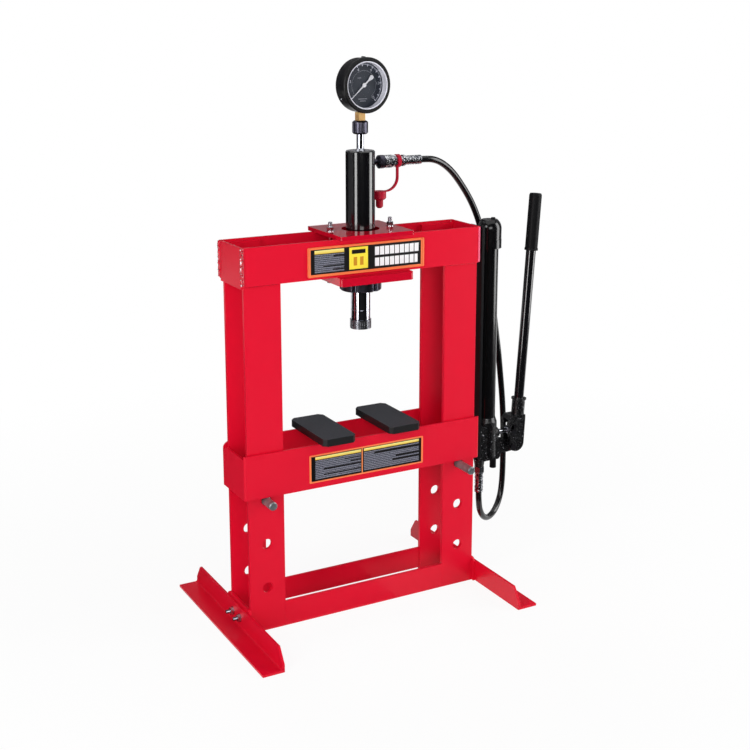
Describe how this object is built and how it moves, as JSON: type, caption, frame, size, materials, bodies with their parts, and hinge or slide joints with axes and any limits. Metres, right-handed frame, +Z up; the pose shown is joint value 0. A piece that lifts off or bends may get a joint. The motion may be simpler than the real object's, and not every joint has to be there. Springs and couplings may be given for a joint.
{
  "type": "bench hydraulic press",
  "caption": "Bench hydraulic press: H-frame with collar beam, sliding pinned bed and arbor plates, ram with gauge, upright hand pump with hinged lever and hose.",
  "frame": {"origin": "on the floor, under the middle of the whole press without its hose", "axes": "+X along the beam towards the pump, +Y to the back, +Z up"},
  "size_m": [0.761, 0.44, 1.1197],
  "materials": {
    "red_paint": "gloss",
    "head_paint": "gloss",
    "black_gloss": "gloss",
    "black_satin": "satin",
    "cast_black": "painted casting",
    "phosphate": "satin",
    "zinc": "zinc plated",
    "dark_steel": "oiled steel",
    "chrome": "polished",
    "spring_steel": "drawn wire",
    "brass": "turned",
    "case_black": "satin",
    "bezel": "gloss",
    "lens": "clear",
    "dial": "matte",
    "dial_ring_grey": "satin",
    "needle_white": "matte",
    "cap_red": "soft moulded plastic",
    "hose_rubber": "satin",
    "grip_rubber": "matte",
    "seal_rubber": "matte"
  },
  "bodies": {
    "frame": {"upright_front_left": "red_paint", "upright_front_right": "red_paint", "upright_back_left": "red_paint", "upright_back_right": "red_paint", "beam_side_plates": "red_paint", "beam_end_plates": "red_paint", "base_side_plates": "red_paint", "base_end_plates": "red_paint", "foot_left": "red_paint", "foot_right": "red_paint", "foot_fasteners": "zinc", "head_top_plate": "head_paint", "head_bottom_plate": "head_paint", "tie_fasteners": "zinc", "ram_barrel": "black_gloss", "ring_nut": "dark_steel", "ram_gland": "dark_steel", "return_spring": "spring_steel", "gauge_adapter": "zinc", "gauge_nut": "dark_steel", "gauge_stem": "brass", "gauge_case": "case_black", "gauge_bezel": "bezel", "gauge_lens": "lens", "gauge_dial": "dial", "dial_ring": "dial_ring_grey", "gauge_plug": "black_satin", "coupler_nipple": "dark_steel", "coupler_half": "zinc", "dust_cap": "cap_red", "hose": "hose_rubber", "hose_ferrule_ram": "zinc", "hose_ferrule_pump": "zinc", "hose_nut": "zinc", "pump_bracket": "black_gloss", "bracket_bolts": "zinc", "pump_casting": "cast_black", "reservoir_tube": "black_gloss", "reservoir_cap": "black_gloss", "filler_plug": "black_satin", "plunger_gland": "black_satin", "fulcrum_pin": "black_satin"},
    "bed": {"bed_side_plates": "red_paint", "bed_end_plates": "red_paint"},
    "arbor_left": {"arbor_plate_left": "phosphate"},
    "arbor_right": {"arbor_plate_right": "phosphate"},
    "pin_left": {"bed_pin_left": "dark_steel"},
    "pin_right": {"bed_pin_right": "dark_steel"},
    "ram": {"piston_rod": "chrome", "piston_seal": "seal_rubber", "saddle": "spring_steel", "saddle_screw": "dark_steel"},
    "needle": {"gauge_needle": "needle_white"},
    "handle": {"handle_fork": "cast_black"},
    "lever": {"handle_pipe": "black_gloss", "handle_grip": "grip_rubber"},
    "plunger": {"plunger": "chrome", "plunger_pin": "black_satin"},
    "knob": {"release_knob": "black_satin"},
    "sleeve": {"coupler_sleeve": "zinc"}
  },
  "joints": [
    {"name": "bed_lift", "type": "slide", "parent": "frame", "child": "bed", "axis": [0, 0, 1], "range_m": [0, 0.064]},
    {"name": "arbor_left_slide", "type": "slide", "parent": "bed", "child": "arbor_left", "axis": [1, 0, 0], "range_m": [-0.07, 0.07]},
    {"name": "arbor_right_slide", "type": "slide", "parent": "bed", "child": "arbor_right", "axis": [1, 0, 0], "range_m": [-0.07, 0.06]},
    {"name": "pin_left_pull", "type": "slide", "parent": "frame", "child": "pin_left", "axis": [0, -1, 0], "range_m": [0, 0.16]},
    {"name": "pin_right_pull", "type": "slide", "parent": "frame", "child": "pin_right", "axis": [0, -1, 0], "range_m": [0, 0.16]},
    {"name": "ram_stroke", "type": "slide", "parent": "frame", "child": "ram", "axis": [0, 0, -1], "range_m": [0, 0.13], "stiffness_N_per_m": 700, "springref_m": -0.15, "deforming": ["return_spring"]},
    {"name": "needle_turn", "type": "hinge", "parent": "frame", "child": "needle", "pos_m": [-0.057, 0, 1.065], "axis": [-0.0872, 0.9962, 0], "range_deg": [0, 270], "stiffness_Nm_per_rad": 0.002, "springref_deg": -17.19},
    {"name": "handle_swing", "type": "hinge", "parent": "frame", "child": "handle", "pos_m": [0.312, 0, 0.271], "axis": [0, 1, 0], "range_deg": [0, 40]},
    {"name": "lever_pull", "type": "slide", "parent": "handle", "child": "lever", "axis": [0.068, 0, 0.9977], "range_m": [0, 0.05]},
    {"name": "plunger_stroke", "type": "slide", "parent": "frame", "child": "plunger", "axis": [1, 0, 0], "range_m": [0, 0.028]},
    {"name": "release_turn", "type": "hinge", "parent": "frame", "child": "knob", "pos_m": [0.271, 0, 0.237], "axis": [0, 0, -1], "range_deg": [0, 360]},
    {"name": "coupler_turn", "type": "hinge", "parent": "frame", "child": "sleeve", "pos_m": [0.003, 0, 0.9135], "axis": [1, 0, 0], "continuous": true}
  ],
  "couplings": [
    {"joint": "plunger_stroke", "follows": "handle_swing", "m_per_rad": 0.04}
  ]
}
